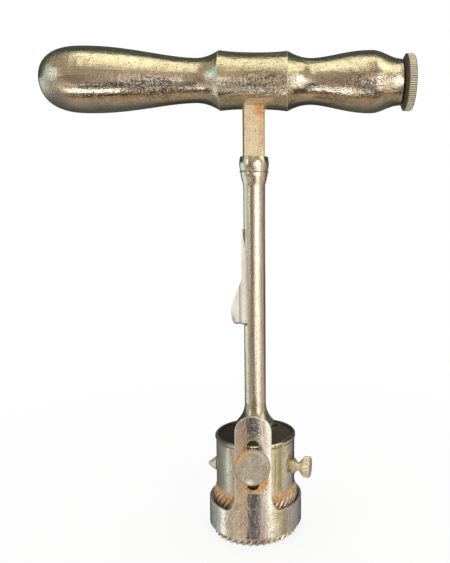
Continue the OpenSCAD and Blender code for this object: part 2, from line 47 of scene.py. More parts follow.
# %% A socket that can be added and multiplied
class Value:
    """An output socket that takes part in ordinary arithmetic."""

    def __init__(self, paint, socket):
        self.paint = paint
        self.socket = socket

    def __add__(self, other):
        return self.paint.maths("ADD", self, other)

    def __radd__(self, other):
        return self.paint.maths("ADD", other, self)

    def __sub__(self, other):
        return self.paint.maths("SUBTRACT", self, other)

    def __rsub__(self, other):
        return self.paint.maths("SUBTRACT", other, self)

    def __mul__(self, other):
        return self.paint.maths("MULTIPLY", self, other)

    def __rmul__(self, other):
        return self.paint.maths("MULTIPLY", other, self)

    def __truediv__(self, other):
        return self.paint.maths("DIVIDE", self, other)

    def __rtruediv__(self, other):
        return self.paint.maths("DIVIDE", other, self)

    def __neg__(self):
        return self.paint.maths("MULTIPLY", self, -1.0)

    def __abs__(self):
        return self.paint.maths("ABSOLUTE", self)


def is_vector(value):
    if isinstance(value, Value):
        return value.socket.type in ("VECTOR", "RGBA")
    return isinstance(value, (tuple, Vector))


print("a Value can be added, subtracted, multiplied, divided, negated and made positive")

# %% [markdown]
# ## One tree of nodes
#
# A `Paint` holds the nodes of one material, or of the world. Every node comes from its method
# `node`, which takes the type, the settings and what goes into the sockets, so that no node is
# wired in a way of its own. The other methods are the few shapes that the masks are built from:
# a soft step, a band, a spot, an oval, cloudy noise, and cells.


# %% The tree and its helpers
class Paint:
    """The node tree of one material, or of the world."""

    def __init__(self, owner):
        owner.use_nodes = True
        self.tree = owner.node_tree
        self.tree.nodes.clear()

    def node(self, kind, settings=None, inputs=None):
        """Any node. A ramp's stops are a setting, as (place, (r, g, b))."""
        made = self.tree.nodes.new("ShaderNode" + kind)
        for name, value in (settings or {}).items():
            if name == "stops":
                self.set_stops(made.color_ramp.elements, value)
            else:
                setattr(made, name, value)
        for key, value in (inputs or {}).items():
            self.feed(made.inputs[key], value)
        return made

    def set_stops(self, elements, stops):
        while len(elements) < len(stops):
            elements.new(1.0)
        for element, (place, colour) in zip(elements, stops):
            element.position = place
            element.color = (*colour, 1.0)

    def feed(self, socket, value):
        if isinstance(value, Value):
            self.tree.links.new(value.socket, socket)
        elif socket.type == "RGBA":
            socket.default_value = (*value, 1.0)
        else:
            socket.default_value = value

    def out(self, made, output=0):
        return Value(self, made.outputs[output])

    def maths(self, operation, *values):
        kind = "VectorMath" if any(is_vector(v) for v in values) else "Math"
        if kind == "VectorMath":
            values = [v if isinstance(v, Value) or is_vector(v) else (v, v, v) for v in values]
        return self.out(self.node(kind, {"operation": operation}, dict(enumerate(values))))

    def most(self, a, b):
        return self.maths("MAXIMUM", a, b)

    def least(self, a, b):
        return self.maths("MINIMUM", a, b)

    def length(self, vector):
        return self.out(self.node("VectorMath", {"operation": "LENGTH"}, {0: vector}), "Value")

    def dot(self, a, b):
        return self.out(self.node("VectorMath", {"operation": "DOT_PRODUCT"}, {0: a, 1: b}), "Value")

    def split(self, vector):
        made = self.node("SeparateXYZ", inputs={0: vector})
        return [self.out(made, axis) for axis in "XYZ"]

    def step(self, value, low, high):
        """0 below low, 1 above high, and a soft slope between them."""
        span = {"Value": value, "From Min": low, "From Max": high}
        return self.out(self.node("MapRange", {"interpolation_type": "SMOOTHSTEP"}, span))

    def fall(self, value, low, high):
        """1 below low, 0 above high: the step the other way round."""
        return 1 - self.step(value, low, high)

    def band(self, value, low, high, soft):
        """1 between low and high, fading to 0 over the width soft outside them."""
        return self.step(value, low - soft, low) * self.fall(value, high, high + soft)

    def spot(self, place, centre, inner, outer):
        """1 near centre and 0 further than outer."""
        return self.fall(self.length(place - centre), inner, outer)

    def oval(self, place, centre, stretch, inner, outer):
        """A spot that is longer along each axis whose stretch is under 1."""
        return self.spot(place * stretch, Vector(centre) * Vector(stretch), inner, outer)

    def mix(self, amount, a, b):
        """Colour a where amount is 0 and b where it is 1. The colours are sockets 6 and 7."""
        made = self.node("Mix", {"data_type": "RGBA"}, {"Factor": amount, 6: a, 7: b})
        return self.out(made, 2)

    def ramp(self, value, stops):
        return self.out(self.node("ValToRGB", {"stops": stops}, {0: value}))

    def noise(self, place, size, detail=3.0, rough=0.55, offset=0.0):
        """Cloudy noise from 0 to 1, with features about size across."""
        shifted = place + (offset, offset, offset)
        sockets = {"Vector": shifted, "Scale": 1 / size, "Detail": detail, "Roughness": rough}
        return self.out(self.node("TexNoise", inputs=sockets))

    def cells(self, place, size):
        """Distance to the nearest of many scattered points, and a colour drawn for each point."""
        sockets = {"Vector": place, "Scale": 1 / size, "Randomness": 1.0}
        made = self.node("TexVoronoi", {"feature": "F1"}, sockets)
        return self.out(made, "Distance"), self.out(made, "Color")


print("Paint methods:", sum(1 for name in vars(Paint) if not name.startswith("_")))

# %% [markdown]
# ## Camera
#
# The camera stands a little to the right of the shaft, well above the crown, and looks slightly
# down. The handle reaches further to the left than to the right. The camera could be turned to
# bring the left grip in, but then the shaft would lean. The lens is shifted sideways instead,
# which keeps the uprights upright. The view transform is the plain one, so
# that a colour is shown about as it is written.

# %% Camera and view
CAMERA_AT = (0.0097, -0.1788, 0.0964)
LOOKS_DOWN = 6.7
LEANS = -0.2
TURNS = -1.15

camera = bpy.data.objects.new("camera", bpy.data.cameras.new("camera"))
camera.data.lens = 39.0
camera.data.sensor_width = 36.0
camera.data.shift_x = -0.1332
camera.data.clip_start = 0.005
camera.location = CAMERA_AT
camera.rotation_euler = (math.radians(90 - LOOKS_DOWN), math.radians(LEANS), math.radians(TURNS))
bpy.context.scene.collection.objects.link(camera)
bpy.context.scene.camera = camera
bpy.context.scene.view_settings.view_transform = "Standard"
print("camera stands", round(MM * camera.location.length), "mm from the origin")

# %% [markdown]
# ## The room that the metal mirrors
#
# Polished plating has almost no look of its own: it shows the room round it. Panels and cards
# could be stood round the instrument, but each would also light it and need its own place.
# A painted world is simpler: only mirroring rays see it, matt surfaces see an even grey, and
# the camera sees white, so the bands on the metal can be set without changing the light.
#
# Each direction gets three numbers. `side` is the compass direction in degrees, from 0 at the
# front to 90 at the right. `up` is its height over the horizon. `tilt` is 0 at the front, 90
# overhead and -90 underfoot, for the handle, which lies across the view. A little noise makes
# the bands waver as they do on hand-finished metal.

# %% Directions in the room
world = bpy.data.worlds.new("room")
bpy.context.scene.world = world
room = Paint(world)
direction = room.out(room.node("TexCoord"), "Generated")
dx, dy, dz = room.split(direction)
ripple = (room.noise(direction, 0.16, 3.0) - 0.5) * 0.03
sway = (room.noise(direction, 0.5, 2.0, 0.5, 3.7) - 0.5) * 0.05
around = room.maths("ARCTAN2", dx, -dy) / (2 * math.pi) + 0.5 + ripple * 0.5
over = room.maths("ARCTAN2", dz, -dy) / (2 * math.pi) + 0.5 + ripple + sway
side = around * 360 - 180
tilt = over * 360 - 180
up = room.maths("ARCSINE", dz) * (180 / math.pi)
print("nodes for the directions:", len(room.tree.nodes))

# %% [markdown]
# ### Walls
#
# Upright pieces mirror the walls. The crown and the guard are seen from above, so they show the
# wall near the floor; the shaft is level with the camera and shows the wall at eye height. Each
# wall is one colour ramp round the compass, dark behind the instrument where no light falls. The
# two are blended between 21 and 13 degrees under the horizon.


# %% A wall near the floor
def by_degrees(stops):
    """Ramp stops from degrees, -180 to 180, as places from 0 to 1."""
    return [(degrees / 360 + 0.5, colour) for degrees, colour in stops]


WHITE = (1.0, 1.0, 1.0)
WARM_WHITE = (1.0, 0.98, 0.92)
DARK = (0.07, 0.075, 0.07)
DIM = (0.3, 0.3, 0.3)
BACKDROP = (0.74, 0.74, 0.74)

low_stops = [
    (-180, BACKDROP), (-176, DIM), (-170, DARK), (-150, DARK), (-140, (0.36, 0.35, 0.31)),
    (-116, (0.36, 0.39, 0.39)), (-98, (0.56, 0.59, 0.57)), (-85, (0.98, 1.0, 0.94)),
    (-77, (0.95, 0.96, 0.88)), (-73, (0.16, 0.15, 0.12)), (-67, (0.62, 0.58, 0.50)),
    (-54, (0.60, 0.53, 0.44)), (-40, (0.56, 0.49, 0.40)), (-29, (0.50, 0.40, 0.29)),
    (-26.5, (0.58, 0.36, 0.22)), (-24, (0.96, 0.88, 0.78)), (-20, (0.20, 0.14, 0.11)),
    (-11, (0.10, 0.11, 0.13)), (6, (0.14, 0.15, 0.18)), (17, (0.48, 0.40, 0.41)),
    (27, (0.76, 0.72, 0.67)), (36, WARM_WHITE), (49, (0.98, 0.94, 0.84)), (54, (0.64, 0.57, 0.43)),
    (66, (0.74, 0.67, 0.51)), (77, (0.50, 0.44, 0.32)), (82, (0.20, 0.18, 0.11)),
    (87, (0.74, 0.68, 0.58)), (100, (0.60, 0.57, 0.56)), (140, (0.34, 0.31, 0.32)), (156, DARK),
    (180, BACKDROP),
]
low_wall = room.ramp(around, by_degrees(low_stops))
print("stops on the low wall:", len(low_stops), "of the 32 that a ramp can hold")

# %% A wall at eye height
mid_stops = [
    (-180, BACKDROP), (-176, DIM), (-170, DARK), (-140, DARK), (-128, (0.46, 0.49, 0.44)),
    (-114, (0.80, 0.84, 0.76)), (-98, (0.74, 0.79, 0.74)), (-82, (0.56, 0.62, 0.59)),
    (-66, (0.50, 0.51, 0.46)), (-58, (0.37, 0.31, 0.26)), (-25, (0.34, 0.27, 0.22)),
    (-12, (0.38, 0.31, 0.26)), (-2, (0.56, 0.50, 0.42)), (6, (0.94, 0.89, 0.79)), (14, WARM_WHITE),
    (46, (1.0, 0.97, 0.90)), (54, (0.82, 0.76, 0.65)), (64, (0.66, 0.59, 0.49)),
    (76, (0.76, 0.70, 0.58)), (84, (0.30, 0.24, 0.18)), (92, (0.62, 0.56, 0.47)),
    (110, (0.40, 0.36, 0.30)), (132, (0.20, 0.17, 0.14)), (150, DARK), (180, BACKDROP),
]
mid_wall = room.ramp(around, by_degrees(mid_stops))
wall = room.mix(room.step(up, -21.0, -13.0), low_wall, mid_wall)
print("stops on the wall at eye height:", len(mid_stops))

# %% [markdown]
# ### The arch over the handle
#
# The handle lies from left to right, so it mirrors an arch that runs from the floor in front,
# over the ceiling, to the back. The real one shows three things there: a brown room, a cream
# ceiling with a wavy lower edge, and a thin bright slit near the floor with gaps in it. The
# wavy edge and the gaps change along the handle, and what changes along it is `reach`, the
# sideways part of a direction. So each is a ramp along `reach`, which is easier to set than
# noise because each wave can be put where it belongs.


# %% The brown room and the cream ceiling
def by_reach(stops):
    """Ramp stops from the sideways part of a direction, -1 to 1, as grey places from 0 to 1."""
    return [(reach / 2 + 0.5, (share, share, share)) for reach, share in stops]


arch_stops = [
    (-180, BACKDROP), (-176, DIM), (-170, DARK), (-142, DARK), (-124, (0.17, 0.15, 0.12)),
    (-110, (0.38, 0.34, 0.28)), (-88, (0.44, 0.38, 0.30)), (-83, (0.58, 0.44, 0.31)),
    (-76, (0.46, 0.34, 0.24)), (-70, (0.13, 0.09, 0.06)), (-57, (0.12, 0.09, 0.07)),
    (-50, (0.20, 0.14, 0.11)), (-38, (0.36, 0.29, 0.25)), (-20, (0.42, 0.34, 0.29)),
    (4, (0.46, 0.38, 0.31)), (26, (0.48, 0.40, 0.31)), (60, (0.46, 0.40, 0.31)),
    (86, (0.46, 0.42, 0.32)), (96, (0.20, 0.21, 0.17)), (118, (0.12, 0.13, 0.11)),
    (140, (0.16, 0.17, 0.15)), (160, DARK), (176, DIM), (180, BACKDROP),
]
arch = room.ramp(over, by_degrees(arch_stops))
reach = dx / 2 + 0.5 + ripple * 0.4
edge_stops = [
    (-0.60, 0.90), (-0.36, 0.88), (-0.32, 0.70), (-0.29, 0.42), (-0.20, 0.38), (-0.15, 0.46), (-0.13, 0.42),
    (-0.12, 0.50), (-0.108, 0.70), (-0.085, 0.70), (-0.074, 0.40), (-0.06, 0.27), (-0.02, 0.28), (0.03, 0.38),
    (0.07, 0.50), (0.10, 0.70), (0.20, 0.74), (0.28, 0.66), (0.36, 0.44), (0.60, 0.40),
]
edge_degrees = room.split(room.ramp(reach, by_reach(edge_stops)))[0] * 100
ceiling = room.step(tilt - edge_degrees, -2.0, 3.0) * room.fall(tilt, 82.0, 92.0)
arch = room.mix(ceiling, arch, (1.03, 0.98, 0.78))
shares = [share for _, share in edge_stops]
print("the ceiling starts between", round(100 * min(shares)), "and", round(100 * max(shares)), "degrees up")

# %% The bright slit near the floor
gap_stops = [
    (-0.70, 0.1), (-0.58, 1.0), (-0.20, 1.0), (-0.18, 0.4), (-0.16, 1.0), (-0.05, 1.0), (-0.036, 0.0),
    (0.08, 0.0), (0.094, 1.0), (0.125, 1.0), (0.14, 0.0),
]
open_share = room.split(room.ramp(reach, by_reach(gap_stops)))[0]
SLIT = (-52.0, -43.0)
slit = room.band(tilt, *SLIT, 2.5) * open_share
arch = room.mix(slit, arch, (1.4, 1.34, 1.24))
print("the slit is", SLIT[1] - SLIT[0], "degrees high")

# %% [markdown]
# ### Walls, arch and lights together
#
# A direction that points upward, steeply down or to the back belongs to the arch, and the rest
# to the walls. Three lights hang in front of them. A teal screen and a white card stand at the
# left, where the real grip shows a cool patch with a white edge. A window at the right makes the
# round hot spots on the handle's curves. The whole room except the window then goes through a
# contrast curve, because one curve is easier to set than eighty ramp colours. The window comes
# after it, so that it stays the brightest.

# %% Put the room together
steep = room.most(room.step(up, 2.0, 9.0) + room.fall(up, -38.0, -31.0), room.step(abs(side), 146.0, 158.0))
mirrored = room.mix(steep, wall, arch)

teal_screen = room.band(side, -84.0, -58.0, 4.0) * room.band(up, 7.0, 30.0, 4.0)
mirrored = room.mix(teal_screen * 0.8, mirrored, (0.50, 0.74, 0.69))
white_card = room.band(side, -56.0, -48.0, 7.0) * room.band(up, 0.0, 18.0, 9.0)
mirrored = room.mix(white_card, mirrored, WARM_WHITE)

CONTRAST = 0.75
DARKEST_GAIN = 0.33
LIFT = 1.42
mirrored = mirrored * (mirrored * CONTRAST + DARKEST_GAIN) * LIFT

WINDOW_AT = (0.56, -0.82, 0.09)
window = room.spot(direction, WINDOW_AT, 0.15, 0.30)
mirrored = room.mix(window, mirrored, (2.6, 2.5, 2.35))
print("a tone of 0.5 becomes", round(0.5 * (0.5 * CONTRAST + DARKEST_GAIN) * LIFT, 2), "in the mirror")

# %% [markdown]
# ### What each kind of ray sees
#
# The Light Path node tells a world what is asking. A ray from a matt surface gets an even grey,
# so the painted bands throw no coloured light. The camera gets plain white, and only a mirroring
# ray gets the room.

# %% What each kind of ray sees
EVEN_GREY = (0.72, 0.72, 0.72)
path = room.node("LightPath")
seen = room.mix(room.out(path, "Is Diffuse Ray"), mirrored, EVEN_GREY)
seen = room.mix(room.out(path, "Is Camera Ray"), seen, WHITE)
background = room.node("Background", inputs={"Color": seen, "Strength": 1.0})
room.node("OutputWorld", inputs={"Surface": room.out(background)})
print("world nodes:", len(room.tree.nodes))

# %% [markdown]
# ## Lamps
#
# The bare, dirty and rusty places don't mirror, so they need light of their own. Three soft
# square lamps are enough: a warm one from the window's side, a cool weaker one from the left,
# and one from above, for the top of the handle and the crown's lip. They are hidden from
# mirroring rays, or the plating would show three white squares next to the painted room.


# %% Three soft lamps
def lamp(name, place, size, power, tint):
    """A square soft lamp at place, in metres, that looks at the middle of the instrument."""
    made = bpy.data.objects.new(name, bpy.data.lights.new(name, "AREA"))
    made.data.size = size
    made.data.energy = power
    made.data.color = tint
    made.location = place
    made.visible_glossy = False
    middle = Vector((0, 0, 0.08))
    made.rotation_euler = (middle - Vector(place)).to_track_quat("-Z", "Y").to_euler()
    bpy.context.scene.collection.objects.link(made)


lamp("window", (0.30, -0.42, 0.40), 0.20, 0.50, (1.0, 0.97, 0.92))
lamp("fill", (-0.46, -0.40, 0.22), 0.34, 0.40, (0.96, 1.0, 0.98))
lamp("top", (0.0, 0.10, 0.62), 0.30, 0.50, WHITE)

# %% [markdown]
# ## Floor
#
# The instrument stands on a white sheet that ends nowhere. A lit white floor would do, but it
# would turn grey where the lamps don't reach, and the metal would mirror it. So the floor glows
# white for the camera, with a small matt share near the instrument that takes a faint shadow,
# and every other ray passes through it. Inside the crown the glow is nearly off, so that the
# gaps between the teeth look dark, as they do where no light gets in.

# %% A white floor with a faint shadow
FLOOR_HALF = 4.0
UNDER_CROWN = 0.0116
SOFT_EDGE = 0.001
SHADOW_FADES = (0.05, 0.22)
MATT_SHARE = 0.16
corners = [(sx * FLOOR_HALF, sy * FLOOR_HALF, 0) for sx, sy in ((-1, -1), (1, -1), (1, 1), (-1, 1))]
mesh = bpy.data.meshes.new("floor")
mesh.from_pydata(corners, [], [(0, 1, 2, 3)])
floor = bpy.data.objects.new("floor", mesh)
floor.location.z = -0.00005
bpy.context.scene.collection.objects.link(floor)

floor_paint = bpy.data.materials.new("floor")
mesh.materials.append(floor_paint)
paint = Paint(floor_paint)
matt = paint.node("BsdfDiffuse", inputs={"Color": (0.95, 0.95, 0.95)})
glow = paint.node("Emission", inputs={"Color": WHITE, "Strength": 1.0})
from_axis = paint.length(paint.out(paint.node("TexCoord"), "Object"))
far = paint.step(from_axis, *SHADOW_FADES)
inside = paint.fall(from_axis, UNDER_CROWN, UNDER_CROWN + SOFT_EDGE)
glow_share = (far * MATT_SHARE + (1 - MATT_SHARE)) * (1 - inside * 0.95)
pale = paint.node("MixShader", inputs={0: glow_share, 1: paint.out(matt), 2: paint.out(glow)})
clear = paint.node("BsdfTransparent")
for_camera = paint.out(paint.node("LightPath"), "Is Camera Ray")
either = paint.node("MixShader", inputs={0: for_camera, 1: paint.out(clear), 2: paint.out(pale)})
paint.node("OutputMaterial", inputs={"Surface": paint.out(either)})
print("floor nodes:", len(paint.tree.nodes))

# %% [markdown]
# ## A recipe for worn metal
#
# All the metals have aged in the same way, and differ only in how far. So they share one recipe
# in four steps, and each metal sets its own amounts. A `Coat` carries what has been painted so
# far: a colour, a roughness, a share of metal, and a height for the bump. All sizes are in
# millimetres, in the frame's own axes, so a stain can be put where it is on the instrument.
#
# The plain amounts below are for lightly worn plating:
# - `stain` and `pits`: how strong the brown blotches and the dark pits are
# - `speckle`: how strong the fine light and dark flecks are
# - `grain`: how the noise is stretched; a small number along an axis gives lines along it
# - `gloss`: the roughness of the clean metal
# - `rippled`: how far the surface waves, which makes the mirrored bands waver
# - `patina`: the share that no longer mirrors
# - `edge` and `outline`: how wide the rubbed edges with their painted highlight are, in mm, and how matt

# %% A coat to paint on
PLAIN_AMOUNTS = {
    "stain": 0.5, "pits": 0.6, "speckle": 0.5, "grain": (1, 1, 1), "gloss": 0.10, "rippled": 0.5,
    "patina": 0.0, "edge": 0.15, "outline": 0.0,
    "stain_colour": (0.36, 0.27, 0.18), "bright": (0.95, 0.91, 0.82),
}


class Coat:
    """One metal's paint so far, and its amounts."""

    def __init__(self, name, amounts):
        self.material = bpy.data.materials.new(name)
        self.paint = Paint(self.material)
        self.place = self.paint.out(self.paint.node("TexCoord"), "Object") * MM
        for key, value in {**PLAIN_AMOUNTS, **amounts}.items():
            if key not in PLAIN_AMOUNTS:
                raise KeyError(key)
            setattr(self, key, value)
        self.colour = None
        self.roughness = self.gloss
        self.metallic = 1.0 - self.patina
        self.height = 0.0

    def cover(self, amount, colour, rougher=0.0, duller=0.0):
        """Lays a colour over the coat where amount is 1, and makes it rougher and less metallic."""
        self.colour = self.paint.mix(amount, self.colour, colour)
        if rougher:
            self.roughness = self.roughness + amount * rougher
        if duller:
            self.metallic = self.metallic * (1 - amount * duller)


print("amounts that a metal can set:", len(PLAIN_AMOUNTS))

# %% [markdown]
# ### Mottled plating and brown blotches
#
# Old plating is never one colour. Slow clouds, about 5 mm across, blend two tones of it and also
# lift the surface a little, and brown blotches lie over them. A painted picture could do this,
# but noise needs no unwrapping and runs across every edge without a seam.


# %% Clouds and blotches
def lay_plating(coat, tone, second):
    """Two tones of plating in clouds, with stains over them."""
    p = coat.paint
    cloud = p.noise(coat.place, 5.0, 4.0)
    coat.colour = p.mix(p.step(cloud, 0.38, 0.62), tone, second)
    coat.height = coat.height + cloud * 0.10 * coat.rippled
    blotch = p.step(p.noise(coat.place, 2.2, 7.0, 0.7, 7.3), 0.50, 0.70) * coat.stain
    coat.cover(blotch, coat.stain_colour, rougher=0.14)


print("at its plain stain, a blotch hides", PLAIN_AMOUNTS["stain"], "of the plating's own colour")

# %% [markdown]
# ### Flecks, glints and pits
#
# Seen close, the plating is gritty: brown flecks, bright glints and small black pits where it
# has come off. The pits are cells with most of them left out, because pits are round and apart.
# The glints and flecks are the low and high ends of one fine noise, so that they never meet.
# Where a piece has a rough patch, `skin` is 1, and there the grit is stronger and dark blots
# join it.


# %% Grit
PIT_CELL = 0.75
PIT_REACH = 0.36


def strew_grit(coat, skin):
    """Flecks, glints and pits, and blots on the rough skin. Gives back the fine noise."""
    p, place = coat.paint, coat.place
    rough_skin = skin(p, place) if skin else 0.0

    near, drawn = p.cells(place, PIT_CELL)
    pit = p.fall(near, 0.08, PIT_REACH) * p.step(p.split(drawn)[0], 0.40, 0.70) * coat.pits
    pit = pit * p.step(p.noise(place, 2.4, 3.0, 0.5, 3.1) + rough_skin * 0.3, 0.40, 0.58)

    patch = p.step(p.noise(place * coat.grain, 3.4, 4.0, 0.6, 17.0), 0.40, 0.60)
    share = (0.35 + 0.65 * patch) * coat.speckle
    if skin:
        share = p.least(share + rough_skin * 0.9, 1.6)
    fine = p.noise(place, 0.30, 2.0, 0.6, 11.0)
    coarse = p.noise(place, 0.62, 2.0, 0.6, 41.0)
    fleck = p.step(fine, 0.55, 0.66) * share
    glint = p.fall(fine, 0.32, 0.44) * share

    coat.roughness = coat.roughness + fleck * 0.16 + patch * 0.06 * coat.speckle
    coat.height = coat.height + coarse * 0.055 * share + fine * 0.040 * share - pit * 0.05
    coat.cover(fleck * 0.9, coat.stain_colour)
    coat.cover(glint * 0.75, coat.bright)
    coat.cover(pit, (0.06, 0.045, 0.03), rougher=0.35, duller=0.4)
    if skin:
        long_noise = p.noise(place * (0.5, 1.0, 1.0), 1.3, 4.0, 0.7, 51.0)
        blot = p.step(coarse * 0.6 + long_noise * 0.4, 0.47, 0.56)
        coat.cover(blot * rough_skin * 0.85, (0.11, 0.09, 0.09))
    return fine


print("pits are up to", round(2 * PIT_REACH * PIT_CELL, 2), "mm wide")

# %% [markdown]
# ### Scratches, and rubbed edges with a painted highlight
#
# Handling leaves two marks: fine scratches, and bright edges where the tarnish is rubbed off.
# The bright edges are also a painted highlight.
# The scratches are a thin slice out of noise that `grain` stretches along the piece. The edges
# come from a Bevel node, which gives the normal as if the edge were rounded: where it differs
# from the real normal there is an edge. It also rounds the edge for the light, so no geometry is
# needed for that.


# %% Scratches and edges
SCRATCH_SLICE = (0.60, 0.63)


def scratch_rub_and_highlight(coat):
    """Scratches, and bright edges that are worn and carry a painted highlight. Gives back the normal of the
    rounded edges.
    """
    p = coat.paint
    lines = p.noise(coat.place * coat.grain, 0.42, 3.0, 0.6, 5.0)
    scratch = p.band(lines, *SCRATCH_SLICE, 0.02)
    coat.height = coat.height + lines * 0.004
    coat.roughness = coat.roughness + scratch * 0.12
    coat.cover(scratch * 0.45, coat.bright)

    rounded = p.out(p.node("Bevel", {"samples": 4}, {"Radius": coat.edge / MM}))
    flat = p.out(p.node("NewGeometry"), "Normal")
    # The rubbed edges are partly wear and partly a painted highlight, a pale colour that shows under any
    # light.
    worn_edge_highlight = p.step(1 - p.dot(rounded, flat), 0.008, 0.07)
    coat.cover(worn_edge_highlight * 0.8, coat.bright)
    coat.metallic = coat.metallic * (1 - worn_edge_highlight * coat.outline)
    return rounded


print("scratches are the noise between", SCRATCH_SLICE[0], "and", SCRATCH_SLICE[1])

# %% [markdown]
# ### Dirt, rust, painted shade and painted glints
#
# These don't come everywhere. Dirt and rust lie where hands, water and other pieces have been;
# painted shade lies where the light falls off, and a painted glint where it catches. So each is a
# function that a piece brings along and that says where it lies. The painted glint comes first,
# then dirt and painted shade, and rust lies over them, dark where that darkening is under it.
# Rust also gets a ragged edge from noise, because it creeps under plating and doesn't fade evenly.

# %% Painted glints, dirt and painted shade, and rust
# The dark colour below serves both dirt and painted shade, and rust is darkened where they lie under it.
RUST = (0.88, 0.50, 0.20)
RUST_DARK = (0.50, 0.24, 0.09)
RUST_UNDER_DIRT_AND_SHADE = (0.10, 0.05, 0.025)
SOIL_AND_SHADE = (0.045, 0.035, 0.025)


def glint_shade_dirt_and_rust(coat, painted_glint, dirt_and_shade, rust, fine):
    """Lays on what the piece brings along: a painted glint, dirt and painted shade, and rust; fine is the
    noise that roughens the rust.
    """
    p, place = coat.paint, coat.place
    # A painted glint: a warm white highlight laid into the colour, less metallic there.
    if painted_glint:
        coat.cover(painted_glint(p, place), WARM_WHITE, duller=0.7)
    # Painted shade on most pieces and real dirt on some: both darken the colour and dull the metal.
    dirt_and_shade_mask = dirt_and_shade(p, place) if dirt_and_shade else None
    if dirt_and_shade:
        coat.cover(dirt_and_shade_mask, SOIL_AND_SHADE, rougher=0.25, duller=0.5)
    if rust:
        ragged = (p.noise(place, 0.9, 5.0, 0.7, 21.0) - 0.5) * 1.6
        amount = p.step(rust(p, place) + ragged * 0.45, 0.34, 0.92)
        flaky = p.step(p.noise(place, 0.6, 4.0, 0.7, 31.0), 0.42, 0.62)
        rust_colour = p.mix(flaky, RUST, RUST_DARK)
        if dirt_and_shade:
            rust_colour = p.mix(dirt_and_shade_mask * 0.8, rust_colour, RUST_UNDER_DIRT_AND_SHADE)
        coat.cover(amount, rust_colour, rougher=0.45, duller=0.85)
        coat.height = coat.height + amount * fine * 0.03


print("rust runs from", RUST, "to", RUST_DARK)

# %% [markdown]
# ### The whole recipe
#
# `metal` runs the four steps and wires the coat into a Principled shader. The height goes to a
# Bump node, which starts from the rounded edges, so that the grit and the worn edges add up.
# Displacement could do it too, but grit this fine would need millions of faces.


# %% All steps together
def metal(name, tone, second, skin=None, painted_glint=None, dirt_and_shade=None, rust=None, thread=None, **amounts):
    """A worn metal in two tones.

    The functions for skin, the painted glint, dirt and painted shade, and rust take (paint, place)
    and give masks, and thread is one that gives a height in mm.
    """
    coat = Coat(name, amounts)
    p = coat.paint
    lay_plating(coat, tone, second)
    fine = strew_grit(coat, skin)
    rounded = scratch_rub_and_highlight(coat)
    glint_shade_dirt_and_rust(coat, painted_glint, dirt_and_shade, rust, fine)
    if thread:
        coat.height = coat.height + thread(p, coat.place)
    relief = {"Strength": 1.0, "Distance": 1 / MM, "Height": coat.height, "Normal": rounded}
    bump = p.out(p.node("Bump", inputs=relief))
    surface = p.node("BsdfPrincipled", inputs={
        "Base Color": coat.colour, "Roughness": coat.roughness, "Metallic": coat.metallic, "Normal": bump
    })
    p.node("OutputMaterial", inputs={"Surface": p.out(surface)})
    return coat.material


print("a height of 1 is", 1 / MM, "m of relief")

# %% [markdown]
# ### Fitting and measuring
#
# Each piece comes with a plain material in its slot, and `wear` puts a worn one there. Where a
# mask has to meet an edge of a piece, its place is worked out from the piece's own box. It
# could be a typed number too, but then the dirt, rust and painted shade would stay behind when
# the piece changes.


# %% Put a metal on its pieces
def wear(material, *nodes):
    """Gives the frame's own pieces a material."""
    for name in nodes:
        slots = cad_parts[name].material_slots
        if not slots:
            raise RuntimeError(name + " has no material slot")
        for slot in slots:
            slot.material = material
    print(material.name, "on", ", ".join(nodes), "with", len(material.node_tree.nodes), "nodes")


def box_mm(node):
    """A piece's lowest and highest corners, in mm."""
    low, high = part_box(node)
    return low * MM, high * MM


grip_low, grip_high = box_mm("left_grip")
HANDLE_Z = (grip_low.z + grip_high.z) / 2
print("the handle's axis is", round(HANDLE_Z, 1), "mm up")

# %% [markdown]
# ## Grips
#
# The two grips are turned and plated, and polished along their length, so scratches and grain
# run along X. A palm has broken the plating on the front of the left one's neck and of the right
# one's bulb. The left end is dull, and painted shade darkens its lower half and the underside
# beyond the barrel. The rough places could be modelled, but they are shallower than a hair, so
# bump and colour show them better. Each is an oval, a spot that is stretched along the handle.


# %% Rough skin, and painted shade on the grips
NECK_AT = (-28.0, -6.0, 130.0)
BARREL_AT = (2.67, -8.0, 131.17)
BULB_AT = (31.0, -8.0, 131.0)


def rough_skin(p, place):
    """Broken plating on the front of the left neck, the barrel and the right bulb."""
    neck = p.oval(place, NECK_AT, (0.5, 1.0, 1.4), 2.6, 5.2)
    barrel = p.oval(place, BARREL_AT, (0.45, 1.0, 1.2), 1.5, 5.5)
    bulb = p.oval(place, BULB_AT, (0.5, 1.0, 1.0), 1.5, 5.0)
    front = p.fall(p.split(place)[1], -3.0, 0.0)
    return front * p.most(neck, p.most(barrel * 0.9, bulb * 0.8))


def grip_end_and_under_shade(p, place):
    """Painted shade on the lower half of the left end, and on the underside beyond the barrel."""
    x, _, z = p.split(place)
    above_axis = z - HANDLE_Z
    end_shade = p.fall(x, grip_low.x + 3.8, grip_low.x + 13.8) * p.fall(above_axis, -8.6, 0.4) * 0.9
    underside = p.fall(above_axis, -8.6, -6.0) * 0.45 * (1 - p.band(x, -12.0, 14.0, 3.0))
    return p.most(end_shade, underside)


ALONG_X = (0.15, 1.6, 1.6)
wear(metal("handle_plating", (0.76, 0.71, 0.60), (0.64, 0.61, 0.54), skin=rough_skin, dirt_and_shade=grip_end_and_under_shade,
           stain=0.65, pits=0.9, grain=ALONG_X, speckle=1.0, rippled=1.0), "left_grip", "right_grip")

# %% [markdown]
# ## Barrel
#
# The barrel is yellower than the grips, with the strongest grit. Its edges are rubbed bright and
# carry a painted highlight, and `outline` makes them matt, so that they read as lines. A brown
# stain has run from the tang's joint to the right. Its place is fixed, so it is a product of bands
# along the axes.


# %% Stain under the barrel
BARREL_FOOT = box_mm("handle_barrel")[0].z


